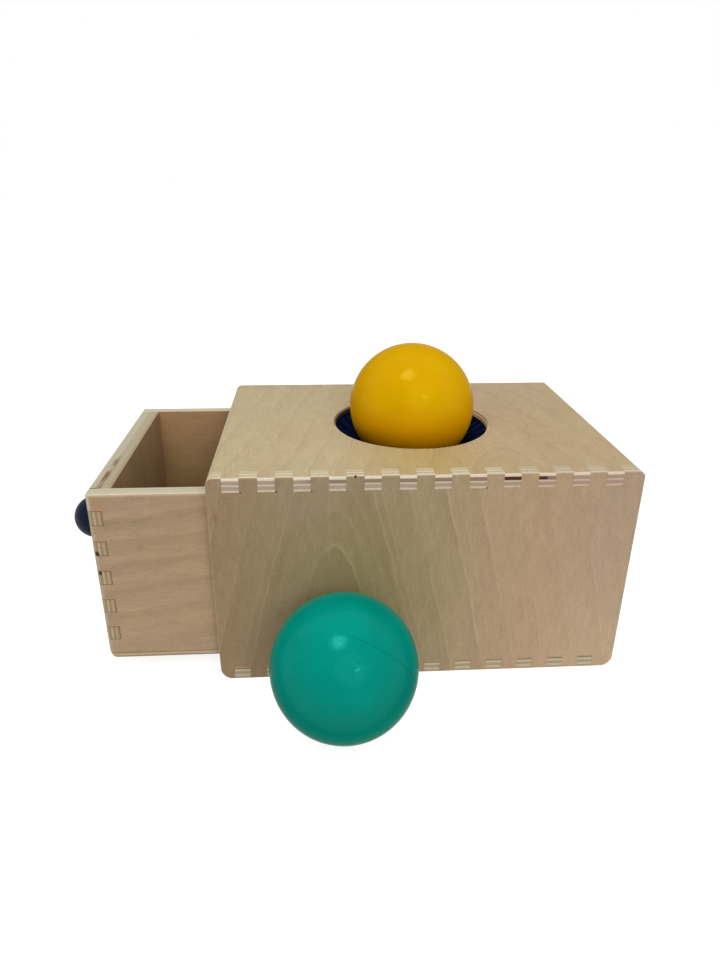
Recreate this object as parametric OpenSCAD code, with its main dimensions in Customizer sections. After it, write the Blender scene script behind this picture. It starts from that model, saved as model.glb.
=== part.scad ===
// Object permanence box: a plywood case with a round hole in its top, a pleated cloth insert
// under the hole, a drawer that slides out of one end, and two balls.
// Millimetres, +Z up. The origin is the centre of the underside of the case, the drawer slides
// along X and comes out towards -X, and the front of the case faces -Y.

/* [Case] */
// Length of the case, along the way the drawer slides
case_l = 182; // [150:1:240]
// Depth of the case, from front to back
case_w = 134; // [120:1:180]
// Height of the case
case_h = 100; // [92:1:130]
// Thickness of the plywood of the case and of the drawer walls
ply_t = 6.6; // [5:0.1:7.5]
// Radius of the case's upper corners at both ends
case_top_r = 3.8; // [2:0.1:10]
// Radius of the case's lower corners at both ends
case_foot_r = 6.5; // [3:0.5:12]
// Radius of the case's eased edges
edge_r = 0.8; // [0.4:0.1:1.5]
// How far the end panel sits inside the end of the case
end_setback = 2.5; // [0.5:0.5:6]

/* [Box joints] */
// Width of one finger
finger_w = 7; // [5:0.1:9]
// Distance from one finger to the next
finger_pitch = 14.45; // [12:0.05:20]
// From the drawer end of the case to the first finger of the top panel
top_first = 6.6; // [4:0.1:8]
// From the drawer end of the case to the first finger of the bottom panel
bottom_first = 6.4; // [4:0.1:8]
// Least width of wood left at the end of a row of fingers
finger_end_min = 3.6; // [2:0.1:5]
// Glue line between two panels
glue_gap = 0.05; // [0.02:0.01:0.15]

/* [Hole and cloth] */
// Diameter of the hole in the top panel
hole_d = 74.3; // [70:0.1:85]
// How far the centre of the hole lies from the middle of the case, away from the drawer
hole_x = 0.9; // [0:0.1:3]
// Radius of the rounded edge of the hole
hole_edge_r = 1.2; // [0.4:0.1:1.5]
// Thickness of the lip that is left round the hole above the cloth
lip_t = 2.6; // [1.5:0.1:3]
// Thickness of the cloth
cloth_t = 0.6; // [0.4:0.1:0.8]
// Room round the cloth, between it and what it touches
cloth_gap = 0.3; // [0.2:0.05:0.4]
// Height of the pleats at the hem, from their middle
pleat_rise = 0.45; // [0.2:0.05:0.6]
// Number of pleats round the ball
pleats = 18; // [12:1:20]
// Slope of the cloth between the hole and the ball, in degrees
cloth_slope = 35; // [28:0.5:42]
// Width of the strip of cloth that lies against the ball above the open hem
hem_w = 2.7; // [1.5:0.1:5]
// Thickness of the elastic cord in the hem
elastic_d = 2; // [1.5:0.1:2.5]

/* [Cloth ring] */
// How far the ring's bore stands back from the edge of the hole
ring_bore_gap = 1; // [0.5:0.1:2.5]
// Width of the ring's spigot, which clamps the cloth under the lip
ring_spigot_w = 5.2; // [4:0.1:8]
// Width of the ring's flange outside the spigot's rebate
ring_flange_w = 7; // [6:0.1:10]
// Thickness of the flange
ring_flange_t = 2.5; // [2:0.1:3]
// Number of screws
ring_screw_count = 4; // [3:1:8]
// Diameter of a ring screw
ring_screw_d = 2.5; // [2:0.1:3]
// Diameter of its head
ring_screw_head_d = 4.6; // [4:0.1:5.5]
// Depth of its countersunk head
ring_screw_head_t = 1.3; // [1:0.1:1.8]
// Wood left in the top panel above the end of a screw
ring_screw_cover = 2; // [1:0.1:3]
// Room round a screw in its hole
screw_gap = 0.05; // [0.02:0.01:0.1]

/* [Balls] */
// Diameter of each ball
ball_d = 60; // [57:0.5:64]
// Place of the teal ball along the front of the case
teal_x = -36.3; // [-80:0.1:80]
// Gap between the teal ball and the front of the case
teal_gap = 1.7; // [1:0.1:30]

/* [Drawer] */
// How far the drawer stands open
drawer_open = 51.4; // [30:0.1:60]
// Room between the closed drawer and the end panel
drawer_end_gap = 2; // [1:0.5:4]
// Room at each side of the drawer
drawer_side_gap = 2.4; // [1:0.1:4]
// Room between the top of the drawer and the cloth ring above it
drawer_top_gap = 1.4; // [0.3:0.1:3]
// Running gap under the drawer
slide_gap = 0.3; // [0.2:0.05:0.5]
// Thickness of the drawer's bottom board
drawer_floor_t = 3; // [2.5:0.1:4]
// Thickness of the board that lines the drawer front
lining_t = 3; // [2.5:0.1:4]
// How far the drawer's inner end stays below the ball
inner_end_gap = 9; // [3:0.5:12]
// Radius of the drawer's lower corners
drawer_foot_r = 5.5; // [3:0.5:6]
// Radius of the drawer's upright corners
drawer_corner_r = 3; // [1.5:0.5:4]
// Radius of the drawer's other outer edges
drawer_edge_r = 1.2; // [0.4:0.1:1.5]

/* [Knob] */
// Diameter of the knob
knob_d = 21.6; // [18:0.1:26]
// How far the knob stands out from the drawer front
knob_reach = 26; // [24:0.5:32]
// Diameter of the knob's neck
knob_neck_d = 11; // [9:0.5:14]
// Thickness of the foot at the end of the neck
knob_foot_t = 2; // [1.5:0.1:3]
// Diameter of the foot
knob_foot_d = 14; // [12:0.5:16]
// Height of the knob above the drawer's middle
knob_lift = 3.1; // [0:0.1:10]
// Diameter of the knob's screw
knob_screw_d = 4; // [3:0.1:5]
// Diameter of its head
knob_screw_head_d = 8; // [7:0.1:9]
// Depth of its countersunk head
knob_screw_head_t = 2.2; // [1.8:0.1:2.6]
// How far the screw reaches into the knob
knob_screw_grip = 14; // [10:0.5:16]

/* [Hidden] */
$fn = 96;

// Overrun of every cut and of every blank that the outer form trims
over = 1;
wood = "burlywood";
ball_r = ball_d / 2;

// Room between the glue lines of the front and back panels
panel_between = case_w - 2 * ply_t - 2 * glue_gap;

// The cloth is clamped between the lip of the hole and the ring's spigot, which sits in a rebate
// under the lip. The ring's flange is screwed to the underside of the top panel.
under_z = case_h - ply_t;
flange_z = under_z - ring_flange_t;
lip_z = case_h - lip_t;
cloth_top_z = lip_z - cloth_gap;
spigot_z = cloth_top_z - cloth_t - cloth_gap;
ring_bore_d = hole_d + 2 * ring_bore_gap;
ring_spigot_d = ring_bore_d + 2 * ring_spigot_w;
rebate_d = ring_spigot_d + 2 * cloth_gap;
ring_flange_d = rebate_d + 2 * ring_flange_w;
ring_screw_circle_d = (rebate_d + ring_flange_d) / 2;
ring_screw_l = ring_flange_t + ply_t - ring_screw_cover;

// The middle line of the cloth falls from the edge of the hole at its slope and touches a circle
// round the ball, which sets the height of the ball
wrap_r = ball_r + cloth_gap + pleat_rise + cloth_t / 2;
cloth_edge_r = hole_d / 2 - cloth_t;
cloth_edge_z = cloth_top_z - 2 * cloth_t;
touch_angle = 90 - cloth_slope;
hem_angle = touch_angle + hem_w / wrap_r * 180 / PI;
ball_z = cloth_edge_z + (wrap_r - cloth_edge_r * cos(touch_angle)) / sin(touch_angle);

// Drawer, worked out from the case
drawer_l = case_l - end_setback - ply_t - drawer_end_gap;
drawer_w = case_w - 2 * ply_t - 2 * drawer_side_gap;
drawer_between = drawer_w - 2 * ply_t - 2 * glue_gap;
drawer_h = case_h - 2 * ply_t - slide_gap - ring_flange_t - drawer_top_gap;
drawer_x0 = -case_l / 2 - drawer_open;
drawer_x1 = drawer_x0 + drawer_l;
drawer_z0 = ply_t + slide_gap;
drawer_z1 = drawer_z0 + drawer_h;
wall_z0 = drawer_z0 + drawer_floor_t;
inner_end_z1 = ball_z - ball_r - inner_end_gap;
knob_z = (drawer_z0 + drawer_z1) / 2 + knob_lift;

// Number of fingers that fit on a length after the first gap
function finger_count(length, first) =
    floor((length - first - finger_w - finger_end_min) / finger_pitch) + 1;

top_count = finger_count(case_l, top_first);
bottom_count = finger_count(case_l, bottom_first);

// The drawer's rows of fingers are centred on the height of its front
wall_h = drawer_z1 - wall_z0;
wall_count = finger_count(wall_h, finger_end_min);
wall_first = (wall_h - (wall_count - 1) * finger_pitch - finger_w) / 2;
inner_count = finger_count(inner_end_z1 - wall_z0, wall_first);

// A rectangle with its lower edge on the X axis, with one radius below and one above
module rounded_slab(w, h, low_r, high_r) {
    for (side = [-1, 1]) {
        translate([side * (w / 2 - low_r), low_r])
            circle(r = low_r);
        translate([side * (w / 2 - high_r), h - high_r])
            circle(r = high_r);
    }
    translate([-w / 2 + low_r, 0])
        square([w - 2 * low_r, h / 2]);
    translate([-w / 2 + high_r, h / 2])
        square([w - 2 * high_r, h / 2]);
    translate([-w / 2, low_r])
        square([w, h - low_r - high_r]);
}

// A box on the XY plane whose end profile, side profile and plan are each rounded
module rounded_form(l, w, h, end_low_r, end_high_r, side_r, plan_r) {
    intersection() {
        rotate([90, 0, 0])
            linear_extrude(w + 2 * over, center = true)
                rounded_slab(l, h, end_low_r, end_high_r);
        rotate([90, 0, 90])
            linear_extrude(l + 2 * over, center = true)
                rounded_slab(w, h, side_r, side_r);
        translate([0, -w / 2, -over])
            linear_extrude(h + 2 * over)
                rounded_slab(l, w, plan_r, plan_r);
    }
}

module case_form() {
    rounded_form(case_l, case_w, case_h, case_foot_r, case_top_r, edge_r, edge_r);
}

module drawer_form() {
    translate([drawer_x0 + drawer_l / 2, 0, drawer_z0])
        rounded_form(drawer_l, drawer_w, drawer_h, drawer_foot_r, drawer_edge_r, drawer_edge_r,
                     drawer_corner_r);
}

// Fingers of a top or bottom panel, grown by a margin, as a plan
module panel_fingers(first, count, length, margin) {
    for (k = [0 : count - 1])
        translate([-case_l / 2 + first + k * finger_pitch - margin, -length / 2])
            square([finger_w + 2 * margin, length]);
}

// A top or bottom panel blank, with its fingers reaching out at the front and the back
module level_panel(first, count, z) {
    intersection() {
        case_form();
        translate([0, 0, z])
            linear_extrude(ply_t + over) {
                square([case_l + 2 * over, panel_between], center = true);
                panel_fingers(first, count, case_w + 2 * over, 0);
            }
    }
}

// The front panel, with the notches that take the fingers of the top and the bottom
module upright_panel() {
    intersection() {
        case_form();
        difference() {
            translate([-case_l / 2 - over, -case_w / 2 - over, -over])
                cube([case_l + 2 * over, ply_t + over, case_h + 2 * over]);
            translate([0, 0, case_h - ply_t - glue_gap])
                linear_extrude(ply_t + glue_gap + 2 * over)
                    panel_fingers(top_first, top_count, case_w + 4 * over, glue_gap);
            translate([0, 0, -2 * over])
                linear_extrude(ply_t + glue_gap + 2 * over)
                    panel_fingers(bottom_first, bottom_count, case_w + 4 * over, glue_gap);
        }
    }
}

// Puts what is made round the Z axis round the axis of the hole
module at_hole() {
    translate([hole_x, 0, 0])
        children();
}

module ring_screw_places() {
    at_hole()
        for (k = [0 : ring_screw_count - 1])
            rotate([0, 0, (k + 1 / 2) * 360 / ring_screw_count])
                translate([ring_screw_circle_d / 2, 0, 0])
                    children();
}

// A countersunk screw that points up from z = 0, grown by a margin
module countersunk_screw(d, head_d, head_t, length, margin) {
    rotate_extrude()
        polygon([[0, -margin], [head_d / 2 + margin, -margin], [head_d / 2 + margin, 0],
                 [d / 2 + margin, head_t], [d / 2 + margin, length + margin], [0, length + margin]]);
}

// The cut that rounds the upper edge of the hole
module hole_edge_cut() {
    translate([hole_x, 0, case_h - hole_edge_r])
        rotate_extrude()
            difference() {
                square([hole_d / 2 + hole_edge_r, hole_edge_r + over]);
                translate([hole_d / 2 + hole_edge_r, 0])
                    circle(r = hole_edge_r, $fn = 24);
            }
}

module top_panel() {
    color(wood)
        difference() {
            level_panel(top_first, top_count, under_z);
            translate([hole_x, 0, under_z - over])
                cylinder(d = hole_d, h = ply_t + 2 * over);
            hole_edge_cut();
            translate([hole_x, 0, under_z - over])
                cylinder(d = rebate_d, h = lip_z - under_z + over);
            ring_screw_places()
                translate([0, 0, flange_z])
                    cylinder(d = ring_screw_d + 2 * screw_gap, h = ring_screw_l + screw_gap);
        }
}

module bottom_panel() {
    color(wood)
        level_panel(bottom_first, bottom_count, -over);
}

module front_panel() {
    color(wood)
        upright_panel();
}

module back_panel() {
    color(wood)
        mirror([0, 1, 0])
            upright_panel();
}

module end_panel() {
    color(wood)
        translate([case_l / 2 - end_setback - ply_t, -panel_between / 2, ply_t + glue_gap])
            cube([ply_t, panel_between, case_h - 2 * ply_t - 2 * glue_gap]);
}

// The cloth, as the middle line of its section from the flange to the hem. Each step holds its
// distance from the axis, its height, the direction of its normal and its share of the pleats.
edge_point = [cloth_edge_r, cloth_edge_z];
touch_point = [wrap_r * cos(touch_angle), ball_z - wrap_r * sin(touch_angle)];
flange_mid_z = cloth_top_z - cloth_t / 2;
flange_out_r = rebate_d / 2 - cloth_gap;
flange_in_r = ring_bore_d / 2;
fall_steps = 4;
wrap_steps = 1;
function ball_line(angle) =
    [wrap_r * cos(angle), ball_z - wrap_r * sin(angle), -angle, 1];
cloth_line = concat(
    [[flange_out_r, flange_mid_z, -90, 0], [flange_in_r, flange_mid_z, -80, 0]],
    [for (k = [0 : fall_steps - 1])
        let (s = k / fall_steps,
             p = edge_point + s * (touch_point - edge_point))
        [p.x, p.y, -touch_angle, s]],
    [for (k = [0 : wrap_steps])
        ball_line(touch_angle + (hem_angle - touch_angle) * k / wrap_steps)]);
samples_per_pleat = 4;
cloth_sides = pleats * samples_per_pleat;

// A point of the cloth at step i and side j, moved by half the cloth's thickness
function cloth_point(i, j, half) =
    let (c = cloth_line[i],
         turn = 360 * j / cloth_sides,
         rise = half + c[3] * pleat_rise * sin(360 * j / samples_per_pleat),
         r = c[0] + rise * cos(c[2]))
    [r * cos(turn), r * sin(turn), c[1] + rise * sin(c[2])];

module cloth_insert() {
    steps = len(cloth_line);
    n = cloth_sides;
    outer = [for (i = [0 : steps - 1]) for (j = [0 : n - 1]) cloth_point(i, j, cloth_t / 2)];
    inner = [for (i = [0 : steps - 1]) for (j = [0 : n - 1]) cloth_point(i, j, -cloth_t / 2)];
    skin = steps * n;
    function at(i, j) = i * n + j % n;
    outer_faces = [for (i = [0 : steps - 2]) for (j = [0 : n - 1]) for (half = [0, 1])
        half == 0 ? [at(i, j), at(i, j + 1), at(i + 1, j + 1)]
                  : [at(i, j), at(i + 1, j + 1), at(i + 1, j)]];
    inner_faces = [for (f = outer_faces) [skin + f[2], skin + f[1], skin + f[0]]];
    last = steps - 1;
    rim_faces = [for (j = [0 : n - 1]) for (half = [0, 1])
        half == 0 ? [at(0, j), skin + at(0, j), skin + at(0, j + 1)]
                  : [at(0, j), skin + at(0, j + 1), at(0, j + 1)]];
    hem_faces = [for (j = [0 : n - 1]) for (half = [0, 1])
        half == 0 ? [at(last, j), skin + at(last, j + 1), skin + at(last, j)]
                  : [at(last, j), at(last, j + 1), skin + at(last, j + 1)]];
    color("midnightblue")
        at_hole()
            polyhedron(concat(outer, inner), concat(outer_faces, inner_faces, rim_faces, hem_faces));
}

module elastic_band() {
    band_path_r = ball_r + cloth_gap + elastic_d / 2;
    band_turn = (elastic_d / 2 + cloth_gap) / band_path_r * 180 / PI;
    angle = hem_angle + band_turn;
    color("black")
        translate([hole_x, 0, ball_z - band_path_r * sin(angle)])
            rotate_extrude()
                translate([band_path_r * cos(angle), 0])
                    circle(d = elastic_d);
}

module cloth_ring() {
    color(wood)
        difference() {
            union() {
                translate([hole_x, 0, flange_z])
                    cylinder(d = ring_flange_d, h = ring_flange_t);
                translate([hole_x, 0, flange_z])
                    cylinder(d = ring_spigot_d, h = spigot_z - flange_z);
            }
            translate([hole_x, 0, flange_z - over])
                cylinder(d = ring_bore_d, h = spigot_z - flange_z + 2 * over);
            ring_screw_places()
                translate([0, 0, flange_z])
                    countersunk_screw(ring_screw_d, ring_screw_head_d, ring_screw_head_t,
                                      ring_screw_l, screw_gap);
        }
}

module ring_screws() {
    color("silver")
        ring_screw_places()
            translate([0, 0, flange_z])
                countersunk_screw(ring_screw_d, ring_screw_head_d, ring_screw_head_t,
                                  ring_screw_l, 0);
}

// The part of the drawer's walls between two places along X, up to a height
module drawer_slice(x0, x1, z1) {
    intersection() {
        drawer_form();
        translate([x0, -drawer_w / 2 - over, wall_z0])
            cube([x1 - x0, drawer_w + 2 * over, z1 - wall_z0]);
    }
}

// Fingers of the drawer's front or inner end, from one side of the drawer to the other
module wall_fingers(x0, x1, count, margin) {
    for (k = [0 : count - 1])
        translate([x0, -drawer_w / 2 - over, wall_z0 + wall_first + k * finger_pitch - margin])
            cube([x1 - x0, drawer_w + 2 * over, finger_w + 2 * margin]);
}

// A board across the drawer, with fingers that reach through both sides
module cross_board(x0, count, z1) {
    intersection() {
        drawer_slice(x0, x0 + ply_t, z1);
        union() {
            wall_fingers(x0, x0 + ply_t, count, 0);
            translate([x0, -drawer_between / 2, wall_z0])
                cube([ply_t, drawer_between, z1 - wall_z0]);
        }
    }
}

module knob_screw_place() {
    translate([drawer_x0 + ply_t, 0, knob_z])
        rotate([0, -90, 0])
            children();
}

module drawer_front() {
    color(wood)
        difference() {
            cross_board(drawer_x0, wall_count, drawer_z1);
            knob_screw_place()
                countersunk_screw(knob_screw_d, knob_screw_head_d, knob_screw_head_t,
                                  ply_t + over, screw_gap);
        }
}

module drawer_lining() {
    color(wood)
        intersection() {
            drawer_form();
            translate([drawer_x0 + ply_t + glue_gap, -drawer_between / 2, wall_z0 + glue_gap])
                cube([lining_t, drawer_between, drawer_h]);
        }
}

// One long side of the drawer, on the side of negative Y, notched for the cross boards
module drawer_side() {
    difference() {
        intersection() {
            drawer_form();
            translate([drawer_x0 - over, -drawer_w / 2 - over, wall_z0 + glue_gap])
                cube([drawer_l + 2 * over, ply_t + over, drawer_h]);
        }
        wall_fingers(drawer_x0 - over, drawer_x0 + ply_t + glue_gap, wall_count, glue_gap);
        wall_fingers(drawer_x1 - ply_t - glue_gap, drawer_x1 + over, inner_count, glue_gap);
    }
}

module drawer_near_side() {
    color(wood)
        drawer_side();
}

module drawer_far_side() {
    color(wood)
        mirror([0, 1, 0])
            drawer_side();
}

module drawer_inner_end() {
    color(wood)
        cross_board(drawer_x1 - ply_t, inner_count, inner_end_z1);
}

module drawer_floor() {
    color(wood)
        intersection() {
            drawer_form();
            translate([drawer_x0 - over, -drawer_w / 2 - over, drawer_z0 - over])
                cube([drawer_l + 2 * over, drawer_w + 2 * over, drawer_floor_t - glue_gap + over]);
        }
}

module drawer_knob() {
    color("midnightblue")
        translate([drawer_x0, 0, knob_z])
            rotate([0, -90, 0])
                difference() {
                    union() {
                        translate([0, 0, knob_reach - knob_d / 2])
                            sphere(d = knob_d);
                        cylinder(d = knob_neck_d, h = knob_reach - knob_d / 2);
                        cylinder(d = knob_foot_d, h = knob_foot_t);
                    }
                    translate([0, 0, -over])
                        cylinder(d = knob_screw_d + 2 * screw_gap, h = knob_screw_grip + screw_gap + over);
                }
}

module knob_screw() {
    color("silver")
        knob_screw_place()
            countersunk_screw(knob_screw_d, knob_screw_head_d, knob_screw_head_t,
                              ply_t + knob_screw_grip, 0);
}

module yellow_ball() {
    color("gold")
        translate([hole_x, 0, ball_z])
            sphere(d = ball_d);
}

module teal_ball() {
    color("lightseagreen")
        translate([teal_x, -case_w / 2 - teal_gap - ball_r, ball_r])
            sphere(d = ball_d);
}

top_panel();
bottom_panel();
front_panel();
back_panel();
end_panel();
cloth_insert();
elastic_band();
cloth_ring();
ring_screws();
drawer_front();
drawer_lining();
drawer_near_side();
drawer_far_side();
drawer_inner_end();
drawer_floor();
drawer_knob();
knob_screw();
yellow_ball();
teal_ball();
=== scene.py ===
import math
from typing import NamedTuple

import bpy
from mathutils import Matrix, Vector


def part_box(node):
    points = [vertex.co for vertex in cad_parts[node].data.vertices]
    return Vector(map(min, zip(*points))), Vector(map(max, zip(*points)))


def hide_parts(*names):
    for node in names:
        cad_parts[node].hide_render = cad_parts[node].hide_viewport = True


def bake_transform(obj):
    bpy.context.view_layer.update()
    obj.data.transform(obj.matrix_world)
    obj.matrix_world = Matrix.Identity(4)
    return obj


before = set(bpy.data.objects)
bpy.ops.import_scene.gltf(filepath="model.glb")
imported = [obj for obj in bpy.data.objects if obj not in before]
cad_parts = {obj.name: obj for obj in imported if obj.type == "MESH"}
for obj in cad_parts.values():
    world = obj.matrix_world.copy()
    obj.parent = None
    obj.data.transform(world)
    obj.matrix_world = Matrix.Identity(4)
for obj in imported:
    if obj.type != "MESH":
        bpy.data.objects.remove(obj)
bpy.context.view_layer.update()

MM = 0.001
X, Y, Z = 0, 1, 2
LOW, HIGH = 0, 1

# The camera, fitted to the case's box joints, edges and hole and to both balls' outlines
IMAGE_HEIGHT_PX = 959
FOCAL_PX = 702.7
SENSOR_MM = 36.0
CAMERA_PLACE = Vector((-0.04612, -0.32731, 0.21299))
CAMERA_YAW = math.radians(3.874)
CAMERA_PITCH = math.radians(23.717)
CAMERA_ROLL = math.radians(0.523)


def box_mm(node):
    """A node's lowest and highest corner, in millimetres as the materials take them."""
    return [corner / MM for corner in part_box(node)]


def centre_mm(node):
    low, high = box_mm(node)
    return (low + high) / 2


# Places and sizes that the frame gives, in millimetres
CASE_LOW, CASE_HIGH = box_mm("front_panel")
NEAR_LOW, NEAR_HIGH = box_mm("drawer_near_side")
CASE_HALF = CASE_HIGH.x
CASE_FRONT = CASE_LOW.y
CASE_TOP = CASE_HIGH.z
PLY = NEAR_HIGH.y - NEAR_LOW.y
DRAWER_LEFT = NEAR_LOW.x
DRAWER_RIM = NEAR_HIGH.z
HOLE_X = centre_mm("yellow_ball").x

# The row of fingers along the front of the top panel, in millimetres as in the construction
FINGER_WIDTH = 7.0
FINGER_PITCH = 14.45
FINGER_START = 6.6
FIRST_FINGER = CASE_LOW.x + FINGER_START

# The radius of the hole below its rounded edge, in millimetres
HOLE_RADIUS = 37.15

# The Mix node's sockets for colours
MIX_SHARE, MIX_A, MIX_B, MIX_RESULT = 0, 6, 7, 2


def srgb(red, green, blue):
    """A colour as a screen shows it, from 0 to 255, as the linear colour that a shader takes."""
    linear = [c / 12.92 if c <= 0.04045 else ((c + 0.055) / 1.055) ** 2.4
              for c in (red / 255, green / 255, blue / 255)]
    return (*linear, 1.0)


def across_case(*shares):
    """Places from left to right in millimetres, from shares of half the case's length."""
    return [share * CASE_HALF for share in shares]


class Graph:
    """The node tree of a material or of the world, with short forms of its nodes.

    A value is a number, a tuple or the output of another node.
    """

    def __init__(self, owner):
        owner.use_nodes = True
        self.owner = owner
        self.tree = owner.node_tree
        self.tree.nodes.clear()

    def put(self, socket, value):
        if isinstance(value, bpy.types.NodeSocket):
            self.tree.links.new(value, socket)
        else:
            socket.default_value = value

    def node(self, kind, values=None, **settings):
        made = self.tree.nodes.new("ShaderNode" + kind)
        for key, value in settings.items():
            setattr(made, key, value)
        for key, value in (values or {}).items():
            self.put(made.inputs[key], value)
        return made

    def math(self, operation, *values, clamp=False):
        made = self.node("Math", dict(enumerate(values)), operation=operation, use_clamp=clamp)
        return made.outputs[0]

    def minus(self, a, b):
        return self.math("SUBTRACT", a, b)

    def times(self, *factors):
        product = factors[0]
        for factor in factors[1:]:
            product = self.math("MULTIPLY", product, factor)
        return product

    def line(self, value, slope, start):
        """A straight line of a value: start, and slope more for each 1 of the value."""
        return self.math("MULTIPLY_ADD", value, slope, start)

    def vector(self, operation, *values, output="Vector"):
        made = self.node("VectorMath", dict(enumerate(values)), operation=operation)
        return made.outputs[output]

    def combine(self, x, y, z):
        return self.node("CombineXYZ", {0: x, 1: y, 2: z}).outputs[0]

    def separate(self, vector):
        return self.node("SeparateXYZ", {0: vector}).outputs

    def noise(self, vector, scale=1.0, detail=2.0, roughness=0.5):
        made = self.node("TexNoise", {"Vector": vector, "Scale": scale, "Detail": detail,
                                      "Roughness": roughness})
        return made.outputs["Fac"]

    def step(self, value, low, high):
        """0 below low, 1 above high, and a slope between them. With low above high it falls."""
        made = self.node("MapRange", {"Value": value, "From Min": low, "From Max": high},
                         interpolation_type="SMOOTHSTEP", clamp=True)
        return made.outputs["Result"]

    def above(self, value, limit, blur):
        """1 above a limit and 0 below it."""
        return self.step(value, limit - blur, limit + blur)

    def below(self, value, limit, blur):
        """1 below a limit and 0 above it."""
        return self.step(value, limit + blur, limit - blur)

    def between(self, value, low, high, blur):
        """1 between low and high, 0 outside them."""
        return self.times(self.above(value, low, blur), self.below(value, high, blur))

    def mix(self, share, a, b, blend="MIX"):
        made = self.node("Mix", data_type="RGBA", blend_type=blend, clamp_factor=True)
        self.put(made.inputs[MIX_SHARE], share)
        self.put(made.inputs[MIX_A], a)
        self.put(made.inputs[MIX_B], b)
        return made.outputs[MIX_RESULT]

    def tint(self, colour, other):
        """The product of two colours."""
        return self.mix(1.0, colour, other, "MULTIPLY")

    def brightness(self, colour, factor):
        """The colour times a factor, where 1 leaves it alone."""
        return self.tint(colour, self.combine(factor, factor, factor))

    def ramp(self, value, stops):
        made = self.node("ValToRGB", {0: value})
        elements = made.color_ramp.elements
        while len(elements) < len(stops):
            elements.new(1.0)
        for element, (place, colour) in zip(elements, stops):
            element.position = place
            element.color = colour
        return made.outputs[0]

    def bands(self, value, bands, blur=0.012):
        """A ramp of bands. Each band holds the place where it ends and its colour."""
        stops = [(0.0, bands[0][1])]
        for (end, colour), (_, following) in zip(bands, bands[1:]):
            stops += [(end - blur, colour), (end + blur, following)]
        return self.ramp(value, stops)

    def place(self):
        """The point on the object in the row frame at rest, in millimetres."""
        made = self.node("TexCoord")
        return self.vector("MULTIPLY", made.outputs["Object"], (1 / MM, 1 / MM, 1 / MM))

    def facing(self, axis):
        """How squarely the surface faces along an axis, from 0 to 1."""
        normal = self.separate(self.node("NewGeometry").outputs["True Normal"])
        return self.math("ABSOLUTE", normal[axis])

    def bump(self, height, distance, strength):
        made = self.node("Bump", {"Height": height, "Distance": distance, "Strength": strength})
        return made.outputs["Normal"]

    def close(self, kind, shader):
        """Ends the tree in an output node and gives back the material or the world."""
        self.node(kind, {"Surface": shader.outputs[0]})
        return self.owner

    def finish(self, colour, roughness, normal, **sockets):
        """Ends the tree in a plain shader and gives back the material."""
        shader = self.node("BsdfPrincipled", {"Base Color": colour, "Roughness": roughness,
                                              "Normal": normal})
        for key, value in sockets.items():
            self.put(shader.inputs[key.replace("_", " ")], value)
        return self.close("OutputMaterial", shader)


def material_graph(name):
    return Graph(bpy.data.materials.new(name))


def spot(graph, point, centre, radius, blur):
    """1 within a radius of a place, in millimetres, and 0 outside it."""
    away = graph.vector("DISTANCE", point, centre, output="Value")
    return graph.below(away, radius, blur)


# Wood colours
TAN = srgb(192, 172, 136)
ROSY = srgb(188, 165, 130)
RING_LATE = srgb(164, 140, 106)
RING_PALE = srgb(222, 206, 176)
RING_DARK = srgb(148, 120, 90)
BURNT = srgb(84, 54, 30)
CREAM = srgb(230, 218, 192)
CREAM_SOFT = srgb(224, 208, 180)
CREAM_DULL = srgb(212, 196, 164)
CREAM_BRIGHT = srgb(244, 231, 208)
MAUVE = srgb(188, 167, 146)
DARK_VENEER = srgb(120, 88, 62)
PLY_GREY = srgb(178, 164, 138)
PLY_TAN = srgb(190, 166, 132)
PLY_BROWN = srgb(146, 114, 84)

# Bands of a board's plies, from its outer face inwards, as shares of a panel's thickness
TOP_PLIES = ((0.23, CREAM_BRIGHT), (0.49, MAUVE), (0.60, CREAM_SOFT), (0.85, MAUVE),
             (0.98, CREAM_SOFT), (1.0, PLY_TAN))
BOTTOM_PLIES = ((0.22, PLY_TAN), (0.42, CREAM_DULL), (0.62, PLY_GREY), (0.82, CREAM_DULL),
                (0.90, PLY_BROWN), (1.0, PLY_TAN))
BACK_PLIES = ((0.30, srgb(182, 160, 126)), (0.46, srgb(172, 148, 114)),
              (0.66, srgb(184, 162, 128)), (1.0, srgb(176, 152, 118)))
UPRIGHT_PLIES = ((0.16, CREAM), (0.35, CREAM_DULL), (0.42, PLY_GREY), (0.62, CREAM),
                 (0.69, PLY_GREY), (1.0, CREAM_DULL))
RIM_PLIES = ((0.30, srgb(208, 200, 176)), (0.42, srgb(190, 178, 150)), (0.62, srgb(206, 196, 170)),
             (0.74, srgb(184, 172, 146)), (1.0, srgb(202, 192, 164)))
FRONT_RIM_PLIES = ((0.28, srgb(190, 182, 158)), (0.44, srgb(187, 176, 150)),
                   (0.62, srgb(191, 180, 155)), (0.78, srgb(179, 167, 140)),
                   (1.0, srgb(176, 163, 133)))
LINING_PLIES = ((0.16, srgb(180, 168, 138)), (0.30, srgb(170, 155, 124)),
                (1.0, srgb(163, 147, 116)))
FINGER_PLIES = ((0.26, srgb(192, 172, 136)), (0.42, srgb(168, 144, 110)),
                (0.56, srgb(200, 180, 146)), (0.70, srgb(166, 140, 106)),
                (0.86, srgb(190, 168, 132)), (1.0, srgb(172, 146, 112)))
FLOOR_PLIES = ((0.04, srgb(138, 106, 72)), (0.26, srgb(200, 178, 144)), (0.32, srgb(164, 134, 98)),
               (1.0, srgb(190, 166, 132)))


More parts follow.
